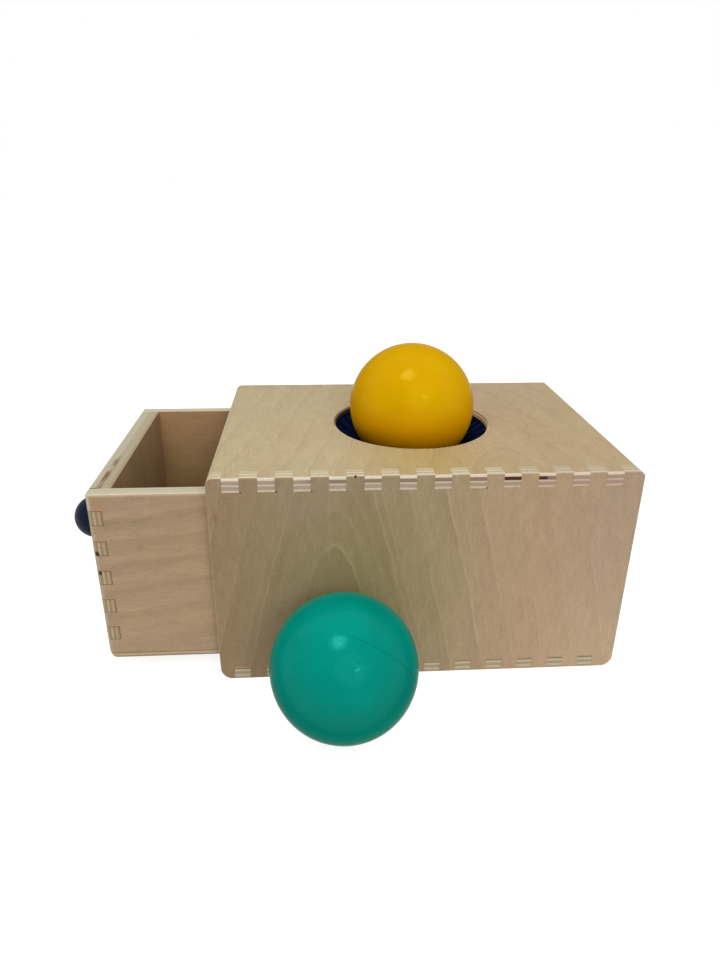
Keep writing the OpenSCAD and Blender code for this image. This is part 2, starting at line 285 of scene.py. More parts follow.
class Figure(NamedTuple):
    """The growth rings that show on a veneer: a cut past a trunk whose rings taper along the grain.

    pith is the place across the grain where the arches peak, depth how deep the pith lies below
    the cut, spacing the thickness of the rings and first the size of the innermost one, all in
    millimetres. taper is the slope of the rings along the grain, strength how clearly they show,
    line the colour of the thin line between two of them and faint the place across the grain
    beyond which they hardly show. seed sets all the veneer's noises.
    """
    pith: float
    depth: float
    taper: float
    spacing: float
    strength: float
    seed: float
    first: float = 0.0
    line: tuple = RING_PALE
    faint: float = None


class Waves(NamedTuple):
    """Noise stretched along the grain, in waves a millimetre across it and along it."""
    across: float
    along: float
    seed: float = 0.0
    detail: float = 2.0
    roughness: float = 0.5


# The noises of a veneer
RING_WARP = Waves(0.035, 0.02, detail=1.0)
RING_TREMOR = Waves(0.3, 0.09)
TONES = Waves(0.03, 0.01, seed=11.0)
MOTTLE = Waves(0.26, 0.08, seed=61.0, detail=3.0, roughness=0.6)
FADING = Waves(0.05, 0.02, seed=47.0)
FIBRES = Waves(1.3, 0.12, seed=5.0, detail=5.0, roughness=0.7)
FLECKS = Waves(2.4, 0.5, seed=23.0, detail=1.0)
RAYS = Waves(1.7, 0.7, seed=31.0, detail=1.0)

# How far noise moves a growth ring, and the width of the line between two, in millimetres
WARP_SIZE = 5.0
TREMOR_SIZE = 1.6
RING_LINE_WIDTH = 0.6

# The fine rings beside the broad ones that a figure gives: how many to a broad one, how clear
FINE_RINGS = 3.3
FINE_RING_STRENGTH_SHARE = 0.35

# How the plies wander on an edge, and its pores, in waves a millimetre and through a panel
PLY_WANDER = Waves(0.07, 0.07, detail=1.0)
WANDER_SHARE = 0.08
PORE_WAVES = 1.6
PORE_WAVES_THROUGH = 8.0

# The wood's thin lacquer
LACQUER_ROUGHNESS = 0.5
LACQUER_GLOSS = 0.2
GRAIN_DEPTH = 0.06 * MM


def grain_noise(graph, across, along, waves, seed):
    place = graph.combine(graph.times(across, waves.across), graph.times(along, waves.along),
                          waves.seed + seed)
    return graph.noise(place, detail=waves.detail, roughness=waves.roughness)


def ring_size(graph, across, along, figure):
    """The size of the growth ring that a point of the veneer lies on, in millimetres."""
    warp = graph.minus(grain_noise(graph, across, along, RING_WARP, figure.seed), 0.5)
    tremor = graph.minus(grain_noise(graph, across, along, RING_TREMOR, figure.seed), 0.5)
    side = graph.minus(across, figure.pith)
    reach = graph.math("SQRT", graph.line(side, side, figure.depth ** 2))
    leaning = graph.line(along, figure.taper, reach)
    warped = graph.line(warp, WARP_SIZE, leaning)
    return graph.line(tremor, TREMOR_SIZE, graph.minus(warped, figure.first))


def ring_presence(graph, across, along, figure):
    """How clearly the rings show at a point, from 0 to 1."""
    fading = grain_noise(graph, across, along, FADING, figure.seed)
    presence = graph.line(graph.step(fading, 0.38, 0.6), 0.7, 0.3)
    if figure.faint is None:
        return presence
    far = graph.above(across, figure.faint, blur=8.0)
    return graph.times(presence, graph.line(far, -0.7, 1.0))


def draw_rings(graph, colour, size, presence, figure, least):
    """Draws the rings: a band that darkens outwards and then a thin line.

    least is the clearness of the faintest ring.
    """
    count = graph.math("DIVIDE", size, figure.spacing)
    ring = graph.math("FRACT", count)
    number = graph.math("FLOOR", graph.math("ADD", count, 0.5))
    chance = graph.noise(graph.combine(number, figure.seed, figure.spacing), scale=1.9,
                         detail=0.0)
    clear = graph.times(graph.line(graph.step(chance, 0.35, 0.65), 1.0 - least, least), presence)
    late = graph.times(graph.step(ring, 0.3, 0.98), graph.step(ring, 1.0, 0.985), clear,
                       0.4 * figure.strength)
    colour = graph.mix(late, colour, RING_LATE)
    width = RING_LINE_WIDTH / figure.spacing
    line = graph.times(graph.step(ring, 0.0, 0.3 * width),
                       graph.step(ring, 1.6 * width, 0.6 * width), clear, 0.19 * figure.strength)
    return graph.mix(line, colour, figure.line)


def veneer(graph, across, along, figure, base, second):
    """The colour and the height of a birch face, from places across and along its grain."""
    seed = figure.seed
    tone = grain_noise(graph, across, along, TONES, seed)
    colour = graph.mix(graph.step(tone, 0.36, 0.64), base, second)
    mottle = grain_noise(graph, across, along, MOTTLE, seed)
    colour = graph.brightness(colour, graph.line(mottle, 0.3, 0.85))

    size = ring_size(graph, across, along, figure)
    presence = ring_presence(graph, across, along, figure)
    colour = draw_rings(graph, colour, size, presence, figure, 0.6)
    fine = figure._replace(spacing=figure.spacing / FINE_RINGS,
                           strength=figure.strength * FINE_RING_STRENGTH_SHARE)
    colour = draw_rings(graph, colour, size, presence, fine, 0.0)

    fibre = grain_noise(graph, across, along, FIBRES, seed)
    colour = graph.brightness(colour, graph.line(fibre, 0.4, 0.8))
    fleck = grain_noise(graph, across, along, FLECKS, seed)
    colour = graph.mix(graph.times(graph.step(fleck, 0.6, 0.74), 0.2), colour, BURNT)
    ray = grain_noise(graph, across, along, RAYS, seed)
    colour = graph.mix(graph.times(graph.step(ray, 0.62, 0.72), 0.16), colour, RING_PALE)
    return colour, graph.line(fleck, -0.4, fibre)


def ply_edge(graph, share, across, along, plies, seed):
    """The colour of a board's edge, from the share of its thickness that lies outside a point."""
    wander = graph.minus(grain_noise(graph, across, along, PLY_WANDER, seed), 0.5)
    colour = graph.bands(graph.line(wander, WANDER_SHARE, share), plies)
    pores = graph.combine(graph.times(across, PORE_WAVES), graph.times(along, PORE_WAVES),
                          graph.times(share, PORE_WAVES_THROUGH))
    return graph.brightness(colour, graph.line(graph.noise(pores), 0.4, 0.8))


class Board:
    """One board's plywood.

    thick and grain are axis numbers: the one through the board and the one that its grain
    follows. side is LOW or HIGH, whichever of the two faces across thick is the outer one.
    """

    def __init__(self, name, node, thick, side, grain, figure, plies, base=TAN, second=ROSY):
        self.graph = graph = material_graph(name)
        self.thick = thick
        self.seed = figure.seed
        self.point = graph.place()
        self.axes = graph.separate(self.point)
        across = next(axis for axis in (X, Y, Z) if axis not in (thick, grain))
        self.places = (self.axes[across], self.axes[grain])
        outer = box_mm(node)[side][thick]
        inward = 1.0 if side == LOW else -1.0
        depth = graph.times(graph.minus(self.axes[thick], outer), inward)
        self.share = graph.math("DIVIDE", depth, PLY)
        self.face, self.height = veneer(graph, *self.places, figure, base, second)
        self.edge = self.edge_colour(plies)

    def edge_colour(self, plies):
        return ply_edge(self.graph, self.share, *self.places, plies, self.seed)

    def tint_face(self, share, colour):
        self.face = self.graph.mix(share, self.face, self.graph.tint(self.face, colour))

    def tint_edge(self, share, colour):
        self.edge = self.graph.mix(share, self.edge, self.graph.tint(self.edge, colour))

    def light_face(self, factor):
        self.face = self.graph.brightness(self.face, factor)

    def paint_face(self, share, colour):
        self.face = self.graph.mix(share, self.face, colour)

    def paint_edge(self, share, colour):
        self.edge = self.graph.mix(share, self.edge, colour)

    def paint(self, share, colour):
        self.paint_face(share, colour)
        self.paint_edge(share, colour)

    def finish(self):
        graph = self.graph
        is_face = graph.step(graph.facing(self.thick), 0.5, 0.8)
        colour = graph.mix(is_face, self.edge, self.face)
        grit = graph.noise(self.point, scale=3.0, detail=3.0, roughness=0.6)
        height = graph.line(self.height, 0.6, grit)
        roughness = graph.line(grit, 0.16, LACQUER_ROUGHNESS)
        normal = graph.bump(height, distance=GRAIN_DEPTH, strength=0.5)
        return graph.finish(colour, roughness, normal, Specular_IOR_Level=LACQUER_GLOSS)


# Painted shade darkens the hole's wall at its left. Its rounded edge is brown at the back and
# carries a painted highlight at the front. The edge's places are distances from the hole's axis
WALL_END = HOLE_RADIUS + 0.4
EDGE_BAND_START = HOLE_RADIUS + 0.3
EDGE_BAND_END = HOLE_RADIUS + 1.0
HOLE_WALL = srgb(222, 200, 160)
HOLE_WALL_PAINTED_SHADE = srgb(74, 62, 52)
HOLE_EDGE = srgb(132, 102, 68)
HOLE_EDGE_PAINTED_HIGHLIGHT = srgb(224, 200, 158)


def colour_hole(board):
    graph = board.graph
    x, y, _ = graph.separate(graph.vector("SUBTRACT", board.point, (HOLE_X, 0.0, 0.0)))
    out = graph.vector("LENGTH", graph.combine(x, y, 0.0), output="Value")
    # Painted shade darkens the wall at the left
    left = graph.below(x, -2.0, blur=12.0)
    wall = graph.mix(left, HOLE_WALL, HOLE_WALL_PAINTED_SHADE)
    board.paint_edge(graph.below(out, WALL_END, blur=0.2), wall)
    # The rounded edge is brown at the back, with a painted highlight at the front
    back = graph.above(y, -6.0, blur=8.0)
    edge = graph.mix(back, HOLE_EDGE_PAINTED_HIGHLIGHT, HOLE_EDGE)
    board.paint(graph.between(out, EDGE_BAND_START, EDGE_BAND_END, blur=0.15), edge)


# The end of the top's row of fingers at the front, with a margin, and its colours
FINGER_ROW_END = CASE_FRONT + 7.5
FINGER_PINK = srgb(253, 241, 240)
TORN_VENEER = srgb(68, 42, 26)


def torn_fingers(board):
    """1 along two fingers at the right, where the veneer under the face is torn."""
    graph, x = board.graph, board.axes[X]
    start = FIRST_FINGER + 8 * FINGER_PITCH
    following = start + FINGER_PITCH
    whole = graph.between(x, start - 1.0, start + FINGER_WIDTH + 1.0, blur=0.2)
    half = graph.between(x, following - 1.0, following + 3.6, blur=0.8)
    return graph.math("MAXIMUM", whole, half)


def colour_finger_row(board):
    """The top's fingers at the front turn pink to the right, with a dark veneer under the face."""
    graph, x = board.graph, board.axes[X]
    at_front = graph.below(board.axes[Y], FINGER_ROW_END, blur=0.5)
    board.tint_edge(graph.times(at_front, graph.step(x, *across_case(-0.22, 0.66))), FINGER_PINK)
    under_face = graph.between(board.share, 0.24, 0.48, blur=0.015)
    middle = graph.between(x, *across_case(-0.55, 0.62), blur=6.0)
    board.paint_edge(graph.times(under_face, at_front, middle, 0.5), DARK_VENEER)
    void = graph.between(board.share, 0.25, 0.47, blur=0.02)
    board.paint_edge(graph.times(torn_fingers(board), at_front, void), TORN_VENEER)


# The top's tints: rosier and, as painted shade, darker to the right, and a painted yellow bounce
# light from the ball between the hole and the front edge
TOP_ROSY_AND_SHADE = srgb(246, 240, 236)
TOP_PAINTED_BOUNCE = srgb(255, 249, 220)


def top_board():
    board = Board("ply_top", "top_panel", Z, HIGH, Y,
                  Figure(pith=34.0, depth=30.0, taper=0.2, spacing=11.0, strength=0.5, seed=3.0),
                  TOP_PLIES, base=srgb(194, 175, 136), second=srgb(190, 168, 130))
    graph = board.graph
    # Rosier to the right, and darker there as painted shade
    board.tint_face(graph.step(board.axes[X], *across_case(-0.55, 0.66)), TOP_ROSY_AND_SHADE)
    # Painted yellow bounce light from the ball, between the hole and the front edge
    painted_bounce = spot(graph, board.point, (HOLE_X, CASE_FRONT + 16.0, CASE_TOP), radius=22.0,
                       blur=20.0)
    board.tint_face(painted_bounce, TOP_PAINTED_BOUNCE)
    # Painted shade: it darkens from the front to the back
    back = graph.step(board.axes[Y], 0.6 * CASE_FRONT, -0.9 * CASE_FRONT)
    board.light_face(graph.line(back, -0.09, 0.985))
    colour_finger_row(board)
    colour_hole(board)
    return board.finish()


def nearest_finger(graph, off_zero):
    """The number of the nearest finger and the distance from it, given that from finger 0."""
    number = graph.math("ROUND", graph.math("DIVIDE", off_zero, FINGER_PITCH))
    return number, graph.line(number, -FINGER_PITCH, off_zero)


def glue_voids(board):
    """1 at the dark specks at the lower right corners of some of the top's fingers."""
    graph = board.graph
    off_first = graph.minus(board.axes[X], FIRST_FINGER + FINGER_WIDTH)
    number, off_corner = nearest_finger(graph, off_first)
    corner = (0.4, 0.0, CASE_TOP - PLY + 0.1)
    speck = spot(graph, graph.combine(off_corner, 0.0, board.axes[Z]), corner, radius=0.32,
                 blur=0.18)
    left = graph.between(number, -0.5, 2.5, blur=0.1)
    right = graph.between(number, 6.5, 7.5, blur=0.1)
    return graph.times(speck, graph.math("ADD", left, right))


# The front's tints: a painted olive bounce light and shade from the teal ball in the middle, warm
# at the left end and rosy, then cool to the right
FRONT_PAINTED_BOUNCE = srgb(243, 246, 230)
FRONT_WARM = srgb(255, 247, 243)
FRONT_ROSY = srgb(253, 244, 249)
FRONT_COOL = srgb(243, 249, 255)
VOID_BLACK = srgb(22, 14, 10)
KNOT_BROWN = srgb(136, 88, 44)
PIN_BROWN = srgb(58, 42, 24)

# The ends of the front's own fingers are duller than its plies, most at the right
END_DULL = srgb(243, 244, 236)
END_DULL_RIGHT = srgb(229, 226, 223)

# A small knot at the front's left end and a pin hole in its upper edge: places and sizes
KNOT_PLACE = (-CASE_HALF + 3.1, CASE_FRONT, CASE_TOP - 17.4)
KNOT_RADIUS = 0.6
KNOT_WIDTH_SHARE = 0.4
PIN_PLACE = (-30.3, CASE_FRONT + 0.3, CASE_TOP - 0.45)
PIN_RADIUS = 0.6


def tint_front(board):
    graph, x = board.graph, board.axes[X]
    board.tint_face(graph.step(x, *across_case(-0.07, 0.66)), FRONT_ROSY)
    board.tint_face(graph.step(x, *across_case(-0.57, -0.92)), FRONT_WARM)
    # Painted olive bounce light and shade from the teal ball
    middle = spot(graph, board.point, (-25.0, CASE_FRONT, 0.52 * CASE_TOP), radius=34.0,
                  blur=22.0)
    board.tint_face(middle, FRONT_PAINTED_BOUNCE)
    cool = graph.brightness(graph.tint(board.face, FRONT_COOL), 1.07)
    board.paint_face(graph.step(x, *across_case(0.5, 0.88)), cool)
    # Painted light and shade: it is lighter to the right, most in the lower corner
    painted_light = graph.line(graph.step(x, *across_case(-0.55, 0.66)), 0.35, 0.81)
    corner = graph.times(graph.step(x, *across_case(0.22, 0.99)),
                         graph.step(board.axes[Z], 0.7 * CASE_TOP, 0.05 * CASE_TOP))
    board.light_face(graph.line(corner, 0.24, painted_light))


def tall_knot(board):
    """1 in a small knot that is taller than it is wide: a round spot, drawn out upwards."""
    graph = board.graph
    x, y, z = KNOT_PLACE
    squat = graph.vector("MULTIPLY", board.point, (1.0, 1.0, KNOT_WIDTH_SHARE))
    return spot(graph, squat, (x, y, z * KNOT_WIDTH_SHARE), KNOT_RADIUS, blur=1.2)


def front_board():
    board = Board("ply_front", "front_panel", Y, LOW, Z,
                  Figure(pith=-39.5, depth=12.0, taper=0.24, spacing=14.2, strength=1.35,
                         seed=29.0, first=27.8, faint=30.0),
                  UPRIGHT_PLIES, base=srgb(182, 160, 124), second=srgb(186, 162, 128))
    graph = board.graph
    tint_front(board)
    board.paint_face(glue_voids(board), VOID_BLACK)
    board.paint_face(graph.times(tall_knot(board), 0.7), KNOT_BROWN)
    dull = graph.mix(graph.step(board.axes[X], *across_case(0.22, 0.5)), END_DULL, END_DULL_RIGHT)
    board.edge = graph.tint(board.edge, dull)
    board.paint(spot(graph, board.point, PIN_PLACE, PIN_RADIUS, blur=0.2), PIN_BROWN)
    return board.finish()


# Dark stains on the drawer front's finger ends: how many fingers above the middle one, how far
# from the outer face, how far above the finger's middle, and the radius
FINGER_STAINS = ((1, 1.5, -2.6, 1.4), (0, 1.6, 2.4, 1.1))
STAIN_BROWN = srgb(44, 26, 14)
GAP_BLACK = srgb(16, 12, 8)


def colour_finger_ends(board, on_end):
    """The drawer front's finger ends have plies of their own, glue lines round them and stains."""
    graph = board.graph
    middle = centre_mm("drawer_front").z
    board.paint_edge(on_end, board.edge_colour(FINGER_PLIES))
    _, off_finger = nearest_finger(graph, graph.minus(board.axes[Z], middle))
    beside = graph.above(graph.math("ABSOLUTE", off_finger), FINGER_WIDTH / 2 - 0.35, blur=0.15)
    behind = graph.above(board.share, 0.95, blur=0.02)
    glue = graph.math("MAXIMUM", beside, behind)
    board.paint_edge(graph.times(glue, on_end, 0.55), BURNT)
    for finger, inward, up, radius in FINGER_STAINS:
        place = (DRAWER_LEFT + inward, NEAR_LOW.y, middle + finger * FINGER_PITCH + up)
        board.paint_edge(spot(graph, board.point, place, radius, blur=0.5), STAIN_BROWN)


def rim_streak(board, on_end):
    """1 along a dark streak in the rim of the drawer front, in its near half."""
    graph = board.graph
    x, y, _ = board.axes
    streak = graph.noise(graph.combine(graph.times(x, 0.5), graph.times(y, 0.06), 2.0))
    return graph.times(graph.between(board.share, 0.5, 0.82, blur=0.05),
                       graph.below(y, -17.0, blur=7.0), graph.above(streak, 0.47, blur=0.13),
                       graph.minus(1.0, on_end))


def rim_gap(board):
    """1 in the open glue line between the rims of the drawer front and of the near side."""
    graph = board.graph
    inner_face = graph.between(board.axes[Y], NEAR_HIGH.y - 0.3, NEAR_HIGH.y + 0.7, blur=0.15)
    end = graph.below(board.axes[X], DRAWER_LEFT + 4.0, blur=0.4)
    return graph.times(inner_face, end, graph.step(graph.facing(Z), 0.3, 0.6))


def drawer_front_board():
    board = Board("ply_drawer_front", "drawer_front", X, LOW, Z,
                  Figure(pith=-12.0, depth=60.0, taper=0.15, spacing=8.0, strength=0.6,
                         seed=71.0), FRONT_RIM_PLIES)
    on_end = board.graph.step(board.graph.facing(Y), 0.5, 0.7)
    colour_finger_ends(board, on_end)
    board.paint_edge(rim_streak(board, on_end), DARK_VENEER)
    board.paint_edge(rim_gap(board), GAP_BLACK)
    return board.finish()


# The near side's corner stain, and the pale ply where its face is worn through
CORNER_STAIN = srgb(188, 144, 92)
BARE_PLY = srgb(222, 206, 176)


def near_side_board():
    board = Board("ply_near_side", "drawer_near_side", Y, LOW, X,
                  Figure(pith=-20.0, depth=60.0, taper=-0.1, spacing=9.0, strength=1.6,
                         seed=97.0, first=2.0, line=RING_DARK),
                  RIM_PLIES, base=srgb(194, 164, 132), second=srgb(188, 160, 128))
    graph = board.graph
    x, _, z = board.axes
    corner = (DRAWER_LEFT + 6.0, NEAR_LOW.y, DRAWER_RIM - 5.0)
    stain = spot(graph, board.point, corner, radius=1.6, blur=3.0)
    board.paint_face(graph.times(stain, 0.6), CORNER_STAIN)
    # It is worn along the rounded corner, most at the top
    worn = graph.line(graph.above(z, DRAWER_RIM - 12.0, blur=1.5), 0.5, 0.4)
    board.paint_face(graph.times(worn, graph.below(x, DRAWER_LEFT + 2.0, blur=0.6)), BARE_PLY)
    return board.finish()


# The drawer's inner faces, and how the far side's is tinted below and towards its rim, with painted
# shade darkening it below
INSIDE_TONES = {"base": srgb(182, 150, 110), "second": srgb(172, 140, 100)}
FAR_SIDE_BELOW = srgb(251, 255, 233)
FAR_SIDE_ABOVE = srgb(255, 247, 247)


def far_side_board():
    board = Board("ply_far_side", "drawer_far_side", Y, HIGH, X,
                  Figure(pith=-40.0, depth=60.0, taper=-0.06, spacing=8.0, strength=0.3,
                         seed=103.0), RIM_PLIES, **INSIDE_TONES)
    graph = board.graph
    upper = graph.step(board.axes[Z], DRAWER_RIM / 3, DRAWER_RIM)
    board.face = graph.tint(board.face, graph.mix(upper, FAR_SIDE_BELOW, FAR_SIDE_ABOVE))
    # Painted shade: the inner face darkens towards the drawer's floor
    board.light_face(graph.line(upper, 0.37, 0.72))
    return board.finish()


def dress(node, material):
    """Gives a CAD node its material."""
    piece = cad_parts[node]
    piece.data.materials.clear()
    piece.data.materials.append(material)
    for polygon in piece.data.polygons:
        polygon.material_index = 0


def dress_plain(name, node, *values, **tones):
    """Gives a CAD node plywood with nothing more on it. The values are those of a Board."""
    dress(node, Board(name, node, *values, **tones).finish())


def dress_case():
    dress("top_panel", top_board())
    dress("front_panel", front_board())
    dress_plain("ply_bottom", "bottom_panel", Z, LOW, Y,
                Figure(pith=-20.0, depth=40.0, taper=0.15, spacing=8.0, strength=0.6, seed=17.0),
                BOTTOM_PLIES)
    dress_plain("ply_back", "back_panel", Y, HIGH, Z,
                Figure(pith=24.0, depth=35.0, taper=0.15, spacing=9.0, strength=0.9, seed=41.0),
                BACK_PLIES)
    dress_plain("ply_end", "end_panel", X, HIGH, Z,
                Figure(pith=10.0, depth=40.0, taper=0.14, spacing=8.0, strength=0.8, seed=53.0),
                TOP_PLIES)
    dress_plain("ply_ring", "cloth_ring", Z, LOW, Y,
                Figure(pith=0.0, depth=40.0, taper=0.12, spacing=8.0, strength=0.5, seed=67.0),
                TOP_PLIES)


def dress_drawer():
    dress("drawer_front", drawer_front_board())
    dress("drawer_near_side", near_side_board())
    dress("drawer_far_side", far_side_board())
    dress_plain("ply_lining", "drawer_lining", X, LOW, Z,
                Figure(pith=20.0, depth=60.0, taper=0.12, spacing=8.0, strength=0.6, seed=83.0),
                LINING_PLIES, **INSIDE_TONES)
    dress_plain("ply_inner_end", "drawer_inner_end", X, HIGH, Z,
                Figure(pith=12.0, depth=40.0, taper=0.15, spacing=8.0, strength=0.8, seed=109.0),
                RIM_PLIES, **INSIDE_TONES)
    dress_plain("ply_floor", "drawer_floor", Z, HIGH, X,
                Figure(pith=-30.0, depth=40.0, taper=0.14, spacing=8.0, strength=0.6, seed=127.0),
                FLOOR_PLIES, **INSIDE_TONES)


class Plastic(NamedTuple):
    """The look of a moulded plastic.

    main has patches of deep and scuffs of pale. Its lower half turns to under, which is painted
    shade, and its outline to rim, which is a painted reflection. shine tints its highlights. foot
    is the share of painted light by which a pale table lights its lower outline, and seam the
    normal of its seam's plane.
    """
    main: tuple
    deep: tuple
    pale: tuple
    under: tuple
    rim: tuple
    shine: tuple
    seed: float
    foot: float = 0.0
    seam: tuple = None


YELLOW = Plastic(main=srgb(219, 168, 0), deep=srgb(214, 160, 0), pale=srgb(228, 182, 10),
                 under=srgb(213, 141, 0), rim=srgb(204, 156, 0), shine=srgb(255, 246, 80),
                 seed=5.0)
TEAL = Plastic(main=srgb(0, 148, 131), deep=srgb(0, 138, 122), pale=srgb(16, 160, 144),
               under=srgb(0, 138, 119), rim=srgb(58, 150, 124), shine=srgb(90, 255, 246),
               seed=9.0, foot=0.22, seam=(0.36, 0.82, 0.45))

# The roughness of the plastic's skin, the depth of its grain, and half the width of its seam in
# millimetres
PLASTIC_ROUGHNESS = 0.06
PLASTIC_GRAIN = 0.07 * MM
SEAM_HALF = 0.35


def seam_groove(graph, from_centre, normal):
    """1 in the groove of the seam, which is polished away on the left."""
    off_seam = graph.vector("DOT_PRODUCT", from_centre, normal, output="Value")
    kept = graph.step(graph.separate(from_centre)[X], -6.0, 12.0)
    return graph.times(graph.step(graph.math("ABSOLUTE", off_seam), SEAM_HALF, 0.1), kept)


def plastic_gloss(graph, place, turned):
    """The strength of the highlights: they show where the skin faces the eye, and are mottled."""
    gloss = graph.line(graph.step(turned, 0.08, 0.5), -0.18, 0.183)
    worn = graph.step(graph.noise(place, scale=1.7, roughness=0.6), 0.4, 0.6)
    return graph.times(gloss, graph.line(worn, 1.1, 0.4))


def moulded_plastic(name, node, look):
    """Satin moulded plastic with faint mottling, scuffs and, where there is one, a seam."""
    graph = material_graph(name)
    place = graph.place()
    from_centre = graph.vector("SUBTRACT", place, centre_mm(node))
    rise = graph.separate(from_centre)[Z]
    turned = graph.node("LayerWeight", {"Blend": 0.5}).outputs["Facing"]
    groove = seam_groove(graph, from_centre, look.seam) if look.seam else 0.0

    patches = graph.noise(graph.vector("ADD", place, (look.seed, 0.0, 0.0)), scale=0.045,
                          detail=3.0, roughness=0.55)
    shade = graph.mix(graph.step(patches, 0.3, 0.7), look.deep, look.main)
    scuffs = graph.noise(graph.vector("MULTIPLY", place, (0.5, 1.4, 0.5)), scale=0.5,
                         detail=5.0, roughness=0.7)
    shade = graph.mix(graph.times(graph.step(scuffs, 0.63, 0.78), 0.16), shade, look.pale)
    # Painted shade: the lower half turns to under
    shade = graph.mix(graph.below(rise, -2.0, blur=14.0), shade, look.under)
    # Painted shade darkens the seam's groove
    shade = graph.brightness(shade, graph.line(groove, -0.24, 1.0))
    # Painted reflection: the outline turns to rim
    shade = graph.mix(graph.times(graph.step(turned, 0.55, 0.97), 0.8), shade, look.rim)
    # Painted light: the pale table lights the lower outline
    lit = graph.times(graph.below(rise, -4.5, blur=7.5), graph.step(turned, 0.2, 0.6))
    shade = graph.brightness(shade, graph.line(lit, look.foot, 1.0))

    grain = graph.noise(place, scale=1.1, detail=3.0, roughness=0.6)
    height = graph.line(groove, -0.5, grain)
    roughness = graph.line(scuffs, 0.12, PLASTIC_ROUGHNESS)
    normal = graph.bump(height, distance=PLASTIC_GRAIN, strength=0.6)
    return graph.finish(shade, roughness, normal, Specular_Tint=look.shine,
                        Specular_IOR_Level=plastic_gloss(graph, place, turned))


def dress_balls():
    dress("yellow_ball", moulded_plastic("yellow_plastic", "yellow_ball", YELLOW))
    dress("teal_ball", moulded_plastic("teal_plastic", "teal_ball", TEAL))


# The cloth's threads: how many run down to the hem, and how close those round it lie
THREADS_DOWN = 420.0
THREADS_ROUND_PER_MM = 9.0
# The cloth's colours: painted shade in its folds, and navy on their ridges
CLOTH_FOLD_SHADE = srgb(0, 3, 9)
CLOTH_NAVY = srgb(15, 35, 80)


def navy_cloth():
    """Smooth navy stretch cloth: threads run round the axis and down to the hem."""
    graph = material_graph("navy_cloth")
    x, y, _ = graph.separate(graph.vector("SUBTRACT", graph.place(), (HOLE_X, 0.0, 0.0)))
    turn = graph.math("ARCTAN2", y, x)
    out = graph.math("SQRT", graph.math("ADD", graph.times(x, x), graph.times(y, y)))
    down = graph.math("SINE", graph.times(turn, THREADS_DOWN))
    round_it = graph.math("SINE", graph.times(out, THREADS_ROUND_PER_MM))
    weave = graph.line(graph.times(down, round_it), 0.5, 0.5)
    # Painted shade and light: dark streaks stand for the shade in fine folds, the navy for their
    # lit ridges
    folds = graph.combine(graph.times(turn, 26.0), graph.times(out, 0.07), 1.0)
    streaks = graph.noise(folds, detail=3.0, roughness=0.6)
    colour = graph.mix(graph.step(streaks, 0.42, 0.62), CLOTH_FOLD_SHADE, CLOTH_NAVY)
    colour = graph.brightness(colour, graph.line(weave, 0.3, 0.85))
    normal = graph.bump(graph.line(streaks, 1.5, weave), distance=0.12 * MM, strength=0.6)
    return graph.finish(colour, roughness=0.85, normal=normal, Specular_IOR_Level=0.02)


# The braid's strands: how many cross a turn of the cord, and their slope up its side
BRAID_STRANDS = 90.0
BRAID_SLOPE = 6.0
BRAID_DARK = srgb(12, 16, 28)
BRAID_LIGHT = srgb(44, 54, 84)


def elastic_braid():
    """Navy elastic cord with a fine braid."""
    graph = material_graph("elastic_braid")
    x, y, z = graph.separate(graph.place())
    turn = graph.math("ARCTAN2", y, x)
    rise = graph.times(z, BRAID_SLOPE)
    left = graph.math("SINE", graph.line(turn, BRAID_STRANDS, rise))
    right = graph.math("SINE", graph.line(turn, -BRAID_STRANDS, rise))
    braid = graph.line(graph.math("MAXIMUM", left, right), 0.5, 0.5)
    colour = graph.mix(braid, BRAID_DARK, BRAID_LIGHT)
    normal = graph.bump(braid, distance=0.15 * MM, strength=0.7)
    return graph.finish(colour, roughness=0.75, normal=normal)


PAINT_DARK = srgb(7, 16, 34)
PAINT_LIGHT = srgb(14, 28, 50)


def navy_paint():
    """Satin navy paint on turned wood, with the turning's faint rings under it."""
    graph = material_graph("navy_paint")
    place = graph.place()
    skin = graph.noise(place, scale=0.9, detail=3.0, roughness=0.6)
    along = graph.times(graph.separate(place)[X], 3.0)
    turning = graph.noise(graph.combine(along, 0.0, 0.0))
    colour = graph.mix(graph.step(skin, 0.35, 0.7), PAINT_DARK, PAINT_LIGHT)
    normal = graph.bump(graph.line(turning, 0.5, skin), distance=0.05 * MM, strength=0.5)
    return graph.finish(colour, roughness=0.45, normal=normal, Specular_IOR_Level=0.1)


STEEL_DARK = srgb(150, 150, 146)
STEEL_LIGHT = srgb(206, 206, 200)


def zinc_steel():
    """Zinc-plated screw steel with fine turning marks."""
    graph = material_graph("zinc_steel")
    marks = graph.noise(graph.vector("MULTIPLY", graph.place(), (6.0, 6.0, 0.8)), detail=3.0)
    colour = graph.mix(marks, STEEL_DARK, STEEL_LIGHT)
    normal = graph.bump(marks, distance=0.02 * MM, strength=0.5)
    return graph.finish(colour, roughness=0.34, normal=normal, Metallic=1.0)


def dress_small_parts():
    dress("elastic_band", elastic_braid())
    dress("drawer_knob", navy_paint())
    steel = zinc_steel()
    dress("knob_screw", steel)
    dress("ring_screws", steel)


# The cloth's cut, and its path as heights and distances from the axis
CLOTH_THICKNESS = 0.5 * MM
FLANGE_OUTER = 43.3 * MM
FLANGE_INNER = 38.2 * MM
FLANGE_TURN = math.radians(84.0)
CLOTH_EDGE_RADIUS = 36.55 * MM
CLOTH_EDGE_DROP = 1.2 * MM
CLOTH_CLEARANCE = 1.05 * MM
CLOTH_SLOPE = math.radians(35.0)
HEM_WIDTH = 2.7 * MM
GATHERS = 36
GATHER_HEIGHT = 0.42 * MM
CLOTH_SIDES = GATHERS * 8
FALL_ROWS = 22
WRAP_ROWS = 4

# The ball that the cloth wraps, in metres
BALL_LOW, BALL_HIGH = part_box("yellow_ball")
BALL_CENTRE = (BALL_LOW + BALL_HIGH) / 2
BALL_RADIUS = (BALL_HIGH.x - BALL_LOW.x) / 2


